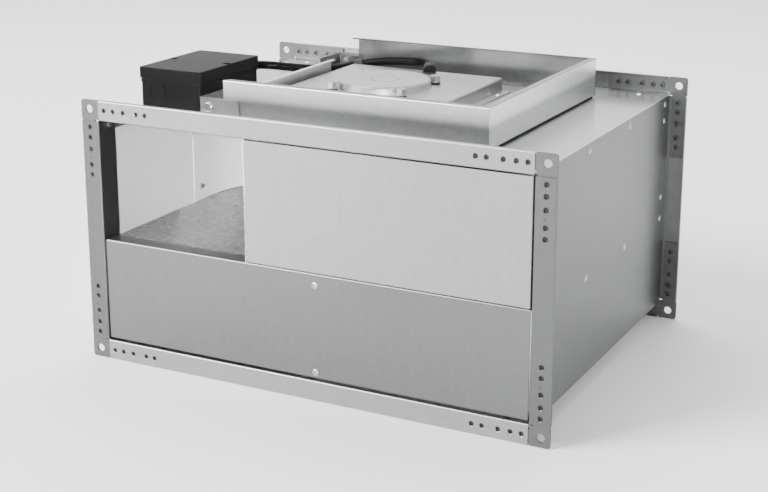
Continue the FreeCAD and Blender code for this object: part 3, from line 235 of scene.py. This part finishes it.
class Finish:
    """One material: a Principled shader and the nodes that feed it."""

    def __init__(self, name, metallic=0.0, **sockets):
        self.material = bpy.data.materials.new(name)
        self.material.use_nodes = True
        self.tree = self.material.node_tree
        self.shader = self.tree.nodes["Principled BSDF"]
        self.place = self.add("ShaderNodeTexCoord", {}, {}, "Object")
        self.set("Metallic", metallic)
        for socket, value in sockets.items():
            self.set(socket.replace("_", " "), value)

    def add(self, kind, settings, inputs, output=0):
        """Makes one node, sets it up, joins its inputs and returns one output."""
        node = self.tree.nodes.new(kind)
        for key, value in settings.items():
            if key == "stops":
                self._stops(node.color_ramp, value)
            else:
                setattr(node, key, value)
        for key, value in inputs.items():
            self._join(node.inputs[key], value)
        return Wire(self, node.outputs[output])

    def _stops(self, ramp, stops):
        for index, (at, tone) in enumerate(stops):
            element = ramp.elements[index] if index < 2 else ramp.elements.new(at)
            element.position = at
            element.color = (*tone, 1.0)

    def _join(self, socket, value):
        if isinstance(value, Wire):
            self.tree.links.new(value.socket, socket)
        elif isinstance(value, (tuple, list)) and len(value) == 3 and len(socket.default_value) == 4:
            socket.default_value = (*value, 1.0)
        else:
            socket.default_value = value

    def set(self, socket, value):
        self._join(self.shader.inputs[socket], value)

    def stretched(self, scale):
        """Object coordinates scaled per axis."""
        return self.add("ShaderNodeMapping", {}, {"Vector": self.place, "Scale": scale})

    def along(self, axis):
        """One object coordinate."""
        return self.add("ShaderNodeSeparateXYZ", {}, {"Vector": self.place}, axis)

    def noise(self, size, detail=2.0, stretch=None, roughness=0.5):
        vector = self.stretched(stretch) if stretch else self.place
        return self.add("ShaderNodeTexNoise", {"noise_dimensions": "3D"},
                        {"Vector": vector, "Scale": 1.0 / size, "Detail": detail, "Roughness": roughness})

    def crystals(self, size):
        """A random tone for each crystal of about that size."""
        tint = self.add("ShaderNodeTexVoronoi", {"feature": "F1"},
                        {"Vector": self.place, "Scale": 1.0 / size, "Randomness": 1.0}, "Color")
        return self.add("ShaderNodeSeparateColor", {}, {"Color": tint}, "Red")

    def tint(self, base, tone):
        """The base colour made lighter or darker by a value round 1."""
        grey = self.add("ShaderNodeCombineColor", {}, {"Red": tone, "Green": tone, "Blue": tone})
        return self.add("ShaderNodeMix", {"data_type": "RGBA", "blend_type": "MULTIPLY"},
                        {0: 1.0, 6: tuple(base), 7: grey}, 2)

    def bump(self, height, depth, strength=1.0):
        return self.add("ShaderNodeBump", {}, {"Height": height, "Distance": depth, "Strength": strength})


def settings(name):
    return getattr(bpy.context.scene, name)


def node_object(name):
    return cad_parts[name]


def dress(finish, *names):
    """Gives CAD nodes one material."""
    for name in names:
        materials = node_object(name).data.materials
        materials.clear()
        materials.append(finish.material)


# ---- finishes -----------------------------------------------------------
def rolled_zinc(name, base, streak_axis, crystal_share=0.06, roughness=None, shade=None, metal=1.0,
                relief=0.00001):
    """Galvanised sheet: faint crystals, fine grain and soft streaks along the rolling direction.

    shade names a function that gives a tone factor from the finish, for painted shade in the pits and painted
    shade and shadow along the lips.
    """
    zinc = settings("fan_zinc")
    finish = Finish(name, metallic=metal)
    stretch = [1.0, 1.0, 1.0]
    stretch[streak_axis] = STREAK_STRETCH
    streaks = finish.noise(zinc.streak, 3.0, tuple(stretch))
    clouds = finish.noise(CLOUD, 3.0)
    grain = finish.noise(zinc.grain, 3.0)
    crystals = finish.crystals(zinc.spangle)
    tone = (0.94 + crystals * crystal_share + (streaks - 0.5) * 0.16 + (clouds - 0.5) * 0.06
            + (grain - 0.5) * 0.14)
    if shade:
        tone = tone * shade(finish)
    finish.set("Base Color", finish.tint(base, tone))
    rough = zinc.sheet_roughness if roughness is None else roughness
    finish.set("Roughness", rough - 0.02 + crystals * 0.04 + (clouds - 0.5) * 0.04 + (streaks - 0.5) * 0.06)
    height = grain * 0.5 + streaks * 0.5
    finish.set("Normal", finish.bump(height, relief, 0.5))
    return finish


def pit_shade(finish):
    """Painted shade on the bottoms and walls of the press marks."""
    depth = finish.along("Y").size()
    return 1.0 - (depth.above(PIT_LOW, PIT_EDGE) - depth.above(PIT_HIGH, PIT_EDGE)) * PIT_SHADE_DEPTH


def lip_shade(finish):
    """Painted shade: a darker lower band standing for a darker reflection, and a painted shadow line along
    the top lip.
    """
    height = finish.along("Z")
    return 0.60 + height.above(BAND_TOP, BAND_EDGE) * 0.50 - height.above(LIP_BOTTOM, LIP_EDGE) * 0.60


def bright_zinc():
    zinc = settings("fan_zinc")
    finish = Finish("bright_zinc", metallic=1.0)
    wear = finish.noise(0.0012, 3.0)
    haze = finish.noise(0.006, 2.0)
    finish.set("Base Color", finish.tint(zinc.screw, 0.88 + wear * 0.12 + haze * 0.1))
    finish.set("Roughness", 0.20 + wear * 0.10 + haze * 0.08)
    finish.set("Normal", finish.bump(wear, 0.00002, 0.4))
    return finish


def grained_plastic(name, base, grain, roughness, shine=0.5):
    """Moulded plastic with a fine sparked texture."""
    finish = Finish(name, Specular_IOR_Level=shine)
    pores = finish.noise(grain, 2.0, roughness=0.7)
    sheen = finish.noise(0.03, 2.0)
    finish.set("Base Color", finish.tint(base, 0.80 + pores * 0.25 + sheen * 0.15))
    finish.set("Roughness", roughness - 0.06 + pores * 0.08 + sheen * 0.05)
    finish.set("Normal", finish.bump(pores, 0.00006, 0.6))
    return finish


def rubber(name, base, roughness, shine=0.3):
    finish = Finish(name, Specular_IOR_Level=shine)
    bloom = finish.noise(0.004, 4.0)
    fine = finish.noise(0.0004, 2.0)
    finish.set("Base Color", finish.tint(base, 0.75 + bloom * 0.5))
    finish.set("Roughness", roughness + (bloom - 0.5) * 0.16)
    finish.set("Normal", finish.bump(fine, 0.00002, 0.5))
    return finish


def cast_aluminium():
    motor = settings("fan_motor")
    finish = Finish("cast_aluminium", metallic=1.0)
    skin = finish.noise(0.0016, 4.0, roughness=0.65)
    flow = finish.noise(0.018, 3.0)
    finish.set("Base Color", finish.tint(motor.casting, 0.84 + skin * 0.16 + flow * 0.14))
    finish.set("Roughness", 0.42 + skin * 0.14)
    finish.set("Normal", finish.bump(skin, 0.00008, 0.6))
    return finish


def dipped_coating():
    motor = settings("fan_motor")
    finish = Finish("rotor_coating", Coat_Weight=0.25, Coat_Roughness=0.25)
    peel = finish.noise(0.0022, 2.0)
    finish.set("Base Color", finish.tint(motor.rotor, 0.8 + peel * 0.4))
    finish.set("Roughness", 0.36 + peel * 0.12)
    finish.set("Normal", finish.bump(peel, 0.00004, 0.5))
    return finish


def core_steel():
    """Stacked plates show as fine level lines."""
    motor = settings("fan_motor")
    finish = Finish("core_steel", metallic=1.0)
    half = motor.lamination / 2
    lines = finish.add("ShaderNodeMath", {"operation": "PINGPONG"}, {0: finish.along("Z"), 1: half}) / half
    oil = finish.noise(0.006, 3.0)
    finish.set("Base Color", finish.tint(motor.steel, 0.65 + lines * 0.3 + oil * 0.2))
    finish.set("Roughness", 0.28 + oil * 0.2)
    finish.set("Normal", finish.bump(lines, 0.00005, 0.7))
    return finish


def ground_steel():
    motor = settings("fan_motor")
    finish = Finish("ground_steel", metallic=1.0)
    rings = finish.noise(0.0006, 2.0, (1.0, 1.0, 8.0))
    finish.set("Base Color", finish.tint(motor.bearing, 0.92 + rings * 0.12))
    finish.set("Roughness", 0.12 + rings * 0.10)
    finish.set("Normal", finish.bump(rings, 0.00001, 0.4))
    return finish


def copper_wire():
    motor = settings("fan_motor")
    finish = Finish("copper_wire", metallic=0.85, Coat_Weight=0.6, Coat_Roughness=0.15)
    strands = finish.add("ShaderNodeTexWave", {"wave_type": "RINGS", "rings_direction": "Z"},
                         {"Vector": finish.place, "Scale": 0.35 / motor.wire, "Distortion": 2.0,
                          "Detail": 1.0})
    varnish = finish.noise(0.005, 3.0)
    finish.set("Base Color", finish.tint(motor.copper, 0.55 + strands * 0.4 + varnish * 0.25))
    finish.set("Roughness", 0.26 + varnish * 0.16)
    finish.set("Normal", finish.bump(strands, 0.0003, 0.8))
    return finish


# ---- stage --------------------------------------------------------------
def new_object(name, mesh):
    piece = bpy.data.objects.new(name, mesh)
    bpy.context.scene.collection.objects.link(piece)
    return piece


def floor_mesh(radius):
    """Round floor whose rim sweeps up into a backdrop."""
    work = bmesh.new()
    profile = [Vector((0, 0, 0)), Vector((radius, 0, 0))]
    for step in range(1, SWEEP_STEPS + 1):
        turn = pi / 2 * step / SWEEP_STEPS
        profile.append(Vector((radius + SWEEP_RISE * sin(turn), 0, SWEEP_RISE * (1 - cos(turn)))))
    profile.append(Vector((radius + SWEEP_RISE, 0, SWEEP_TOP)))
    points = [work.verts.new(p) for p in profile]
    edges = [work.edges.new(pair) for pair in zip(points, points[1:])]
    bmesh.ops.spin(work, geom=points + edges, cent=(0, 0, 0), axis=(0, 0, 1), angle=2 * pi,
                   steps=FLOOR_STEPS, use_merge=True, use_duplicate=False)
    bmesh.ops.remove_doubles(work, verts=work.verts, dist=1e-4)
    bmesh.ops.recalc_face_normals(work, faces=work.faces)
    bmesh.ops.reverse_faces(work, faces=work.faces)
    mesh = bpy.data.meshes.new("studio_floor")
    work.to_mesh(mesh)
    work.free()
    for face in mesh.polygons:
        face.use_smooth = True
    return mesh


def area_light(name, place, aim, size, power):
    data = bpy.data.lights.new(name, "AREA")
    data.shape = "RECTANGLE"
    data.size, data.size_y = size
    data.energy = power
    light = bpy.data.objects.new(name, data)
    light.location = place
    light.rotation_mode = "QUATERNION"
    light.rotation_quaternion = (Vector(aim) - Vector(place)).to_track_quat("-Z", "Y")
    bpy.context.scene.collection.objects.link(light)


class FAN_OT_stage(bpy.types.Operator):
    """Camera, floor, lights and ambient light"""
    bl_idname = "ductfan.stage"
    bl_label = "Stage"

    def execute(self, context):
        studio = settings("fan_studio")
        data = bpy.data.cameras.new("camera")
        data.sensor_width = 36.0
        data.lens = studio.lens
        data.shift_y = studio.camera_rise
        data.clip_end = 100.0
        camera = bpy.data.objects.new("camera", data)
        camera.location = studio.camera_place
        turn, tilt = studio.camera_turn, studio.camera_tilt
        heading = Vector((-sin(turn) * cos(tilt), cos(turn) * cos(tilt), -sin(tilt)))
        camera.rotation_mode = "QUATERNION"
        camera.rotation_quaternion = heading.to_track_quat("-Z", "Y")
        context.scene.collection.objects.link(camera)
        context.scene.camera = camera

        floor = new_object("studio_floor", floor_mesh(studio.floor_radius))
        paper = Finish("studio_paper", Roughness=0.9)
        paper.set("Base Color", tuple(studio.floor))
        floor.data.materials.append(paper.material)

        for name, (place, aim, size, power) in LIGHTS.items():
            area_light(name, place, aim, size, getattr(studio, power))
        bpy.data.lights["outlet_light"].spread = OUTLET_SPREAD

        world = bpy.data.worlds.new("studio_air")
        world.use_nodes = True
        background = world.node_tree.nodes["Background"]
        background.inputs["Color"].default_value = (*studio.sky, 1.0)
        background.inputs["Strength"].default_value = studio.ambient
        context.scene.world = world
        return {"FINISHED"}


# ---- pieces -------------------------------------------------------------
class FAN_OT_casing(bpy.types.Operator):
    """Finish of the casing panels, shelf, scroll and front panels"""
    bl_idname = "ductfan.casing"
    bl_label = "Casing"

    def execute(self, context):
        zinc = settings("fan_zinc")
        # Painted shade: the side panels take a darker copy of the zinc.
        dress(rolled_zinc("side_zinc", zinc.side, ALONG_Z), "casing_right_panel")
        dress(rolled_zinc("outlet_wall_zinc", zinc.inner, ALONG_Z, roughness=0.50, metal=0.35),
              "casing_left_panel")
        # Painted light: the top and bottom panels take a lighter copy of the zinc.
        dress(rolled_zinc("top_zinc", zinc.panel, ALONG_X, roughness=0.24),
              "casing_top_panel", "casing_bottom_panel")
        dress(rolled_zinc("upper_front_zinc", zinc.upper, ALONG_Z), "front_upper_panel")
        # Painted shade: the lower front panel is a darker copy of the upper panel's zinc.
        dress(rolled_zinc("lower_front_zinc", zinc.lower, ALONG_Z), "front_lower_panel", "panel_stiffener")
        dress(rolled_zinc("scroll_zinc", zinc.scroll, ALONG_Z, roughness=0.55, metal=0.45),
              "volute_scroll", "volute_tongue")
        dress(rolled_zinc("shelf_zinc", zinc.shelf, ALONG_Y, roughness=0.28, metal=0.75, relief=0.000001),
              "partition_plate", "inlet_ring")
        return {"FINISHED"}


class FAN_OT_flanges(bpy.types.Operator):
    """Finish of the flange bars, corner plates and hinge brackets"""
    bl_idname = "ductfan.flanges"
    bl_label = "Flanges"

    def execute(self, context):
        zinc = settings("fan_zinc")
        dress(rolled_zinc("long_bar_zinc", zinc.profile, ALONG_X), "front_flange_long_bars")
        # Painted shade: the side bars and the rear flange take darker copies of the bar zinc.
        dress(rolled_zinc("side_bar_zinc", zinc.upright, ALONG_Z), "front_flange_side_bars")
        dress(rolled_zinc("rear_bar_zinc", zinc.rear, ALONG_Z),
              "rear_flange_long_bars", "rear_flange_side_bars")
        # Painted shade: the corner plates are a darker copy of the bar zinc, with painted shade in their
        # press marks.
        dress(rolled_zinc("corner_zinc", zinc.plate, ALONG_Z, roughness=0.42, shade=pit_shade),
              "front_corner_plates", "rear_corner_plates")
        dress(rolled_zinc("bracket_zinc", zinc.profile, ALONG_Y, 0.14),
              "hinge_bracket_front", "hinge_bracket_rear")
        return {"FINISHED"}


class FAN_OT_hatch(bpy.types.Operator):
    """Finish of the hatch, its walls and the motor bridge plate"""
    bl_idname = "ductfan.hatch"
    bl_label = "Hatch"

    def execute(self, context):
        zinc = settings("fan_zinc")
        # All hatch walls carry the painted shade bands of lip_shade; the rear wall takes the darker rear
        # flange zinc.
        dress(rolled_zinc("hatch_cross_zinc", zinc.hatch, ALONG_Z, 0.08, shade=lip_shade), "hatch_front_wall")
        dress(rolled_zinc("hatch_rear_zinc", zinc.rear, ALONG_Z, 0.10, shade=lip_shade), "hatch_rear_wall")
        # Painted light: the side walls of the hatch take a lighter copy of the hatch zinc.
        dress(rolled_zinc("hatch_side_zinc", zinc.hatch_side, ALONG_Z, 0.08, shade=lip_shade),
              "hatch_right_wall", "hatch_left_wall")
        dress(rolled_zinc("hatch_base_zinc", zinc.hatch, ALONG_Y, 0.10), "hatch_base")
        dress(rolled_zinc("bridge_zinc", zinc.bridge, ALONG_Y, 0.12, 0.34), "motor_bridge_plate")
        return {"FINISHED"}


class FAN_OT_fasteners(bpy.types.Operator):
    """Finish of the rivets, screws, bolts and nuts"""
    bl_idname = "ductfan.fasteners"
    bl_label = "Fasteners"

    def execute(self, context):
        dress(bright_zinc(), "casing_rivets", "front_panel_screws", "hinge_bolts", "hinge_nuts",
              "hatch_screws", "bridge_rivets", "motor_bolts", "motor_washers", "clamp_screw", "box_screws",
              "impeller_screws")
        return {"FINISHED"}


def softened(name, body, radius, finish):
    """A copy of a soft CAD node with rounded edges, which stands for the node."""
    work = bmesh.new()
    work.from_mesh(node_object(name).data)
    bmesh.ops.remove_doubles(work, verts=work.verts, dist=SAME_PLACE)
    bmesh.ops.dissolve_limit(work, angle_limit=FLAT, verts=work.verts, edges=work.edges)
    sharp = [edge for edge in work.edges if len(edge.link_faces) == 2 and edge.calc_face_angle() > SHARP]
    bmesh.ops.bevel(work, geom=sharp, offset=radius, segments=2, profile=0.5, affect="EDGES",
                    material=-1, clamp_overlap=True)
    bmesh.ops.recalc_face_normals(work, faces=work.faces)
    mesh = bpy.data.meshes.new(name + "_soft")
    work.to_mesh(mesh)
    work.free()
    mesh.materials.append(finish.material)
    piece = new_object(name + "_soft", mesh)
    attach(piece, body)
    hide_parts(name)


class FAN_OT_seals(bpy.types.Operator):
    """Gaskets, dampers and rubber boot, with rounded edges"""
    bl_idname = "ductfan.seals"
    bl_label = "Seals"

    def execute(self, context):
        soft = settings("fan_soft")
        foam = rubber("gasket_rubber", soft.rubber, 0.75)
        boot = rubber("damper_rubber", soft.rubber, 0.60)
        softened("hatch_gasket", "hatch", 0.0004, foam)
        softened("cover_gasket", "casing", 0.0003, foam)
        softened("motor_dampers", "hatch", 0.0006, boot)
        softened("cable_grommet", "hatch", 0.0010, boot)
        return {"FINISHED"}


class FAN_OT_motor(bpy.types.Operator):
    """Finish of the motor and the impeller"""
    bl_idname = "ductfan.motor"
    bl_label = "Motor and impeller"

    def execute(self, context):
        motor = settings("fan_motor")
        dress(cast_aluminium(), "motor_flange", "motor_hub_cover")
        dress(dipped_coating(), "rotor_shell")
        dress(core_steel(), "stator_core")
        dress(ground_steel(), "motor_bearings", "motor_shaft")
        dress(copper_wire(), "stator_windings")
        dress(rolled_zinc("impeller_zinc", motor.impeller, ALONG_Z, 0.12),
              "impeller_back_plate", "impeller_blades", "impeller_inlet_band")
        return {"FINISHED"}


class FAN_OT_terminal_box(bpy.types.Operator):
    """Finish of the terminal box and what it holds"""
    bl_idname = "ductfan.terminal_box"
    bl_label = "Terminal box"

    def execute(self, context):
        soft = settings("fan_soft")
        dress(grained_plastic("box_plastic", soft.box, soft.plastic_grain, 0.34, 0.05),
              "terminal_box_base", "terminal_box_cover")
        dress(grained_plastic("gland_plastic", soft.box, soft.plastic_grain, 0.30, 0.4),
              "cable_gland", "gland_nut", "cable_clamp")
        dress(grained_plastic("strip_plastic", soft.terminal, soft.plastic_grain, 0.42), "terminal_block")
        dress(grained_plastic("can_plastic", soft.can, soft.plastic_grain, 0.25), "capacitor")
        return {"FINISHED"}


# Control points of the cable's line, from the boot to the gland.
CABLE_ROUTE = [
    (-0.005, 0.098, 0.2935), (-0.0105, 0.1065, 0.2975), (-0.024, 0.1135, 0.2985), (-0.040, 0.116, 0.2975),
    (-0.058, 0.118, 0.296), (-0.078, 0.120, 0.2935), (-0.098, 0.120, 0.290), (-0.115, 0.115, 0.286),
    (-0.127, 0.102, 0.284), (-0.139, 0.086, 0.2845), (-0.154, 0.071, 0.2865), (-0.174, 0.063, 0.288),
    (-0.194, 0.057, 0.2895), (-0.208, 0.044, 0.291), (-0.2145, 0.021, 0.292), (-0.214, -0.008, 0.292)]


def as_mesh(piece, context):
    """The piece's mesh as it now stands."""
    context.view_layer.update()
    return bpy.data.meshes.new_from_object(piece.evaluated_get(context.evaluated_depsgraph_get()))


class FAN_OT_cable(bpy.types.Operator):
    """Motor cable, one sheath from the boot to the gland"""
    bl_idname = "ductfan.cable"
    bl_label = "Motor cable"

    def execute(self, context):
        soft = settings("fan_soft")
        curve = bpy.data.curves.new("motor_cable_line", "CURVE")
        curve.dimensions = "3D"
        curve.resolution_u = 10
        curve.bevel_resolution = 6
        curve.use_fill_caps = True
        line = curve.splines.new("NURBS")
        line.points.add(len(CABLE_ROUTE) - 1)
        for point, place in zip(line.points, CABLE_ROUTE):
            point.co = (*place, 1.0)
        line.order_u = 3
        line.use_endpoint_u = True
        draft = new_object("motor_cable_draft", curve)
        centreline = [tuple(v.co) for v in as_mesh(draft, context).vertices]
        curve.bevel_depth = soft.cable_diameter / 2
        mesh = as_mesh(draft, context)
        bpy.data.objects.remove(draft)
        for face in mesh.polygons:
            face.use_smooth = True
        cable = new_object("motor_cable_sheath", mesh)
        mesh.materials.clear()
        mesh.materials.append(rubber("motor_cable_black", soft.sheath, 0.24, 0.03).material)
        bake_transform(cable)
        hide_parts("motor_cable", "motor_cable_flex", "motor_cable_box_end")
        return {"FINISHED"}


STEPS = (FAN_OT_stage, FAN_OT_cable, FAN_OT_casing, FAN_OT_flanges, FAN_OT_hatch, FAN_OT_fasteners,
         FAN_OT_seals, FAN_OT_motor, FAN_OT_terminal_box)


class FAN_PT_panel(bpy.types.Panel):
    """Lists the steps and the values that a user changes"""
    bl_idname = "FAN_PT_panel"
    bl_label = "Duct Fan"
    bl_space_type = "VIEW_3D"
    bl_region_type = "UI"
    bl_category = "Duct Fan"

    def draw(self, context):
        for step in STEPS:
            self.layout.operator(step.bl_idname)
        for name, group in GROUPS.items():
            column = self.layout.box().column()
            for key in group.__annotations__:
                column.prop(getattr(context.scene, name), key)


CLASSES = (*GROUPS.values(), *STEPS, FAN_PT_panel)


def register():
    for item in CLASSES:
        bpy.utils.register_class(item)
    for name, group in GROUPS.items():
        setattr(bpy.types.Scene, name, PointerProperty(type=group))


def unregister():
    for name in GROUPS:
        delattr(bpy.types.Scene, name)
    for item in reversed(CLASSES):
        bpy.utils.unregister_class(item)


def main():
    register()
    for step in STEPS:
        group, name = step.bl_idname.split(".")
        getattr(getattr(bpy.ops, group), name)()


if __name__ == "__main__":
    main()
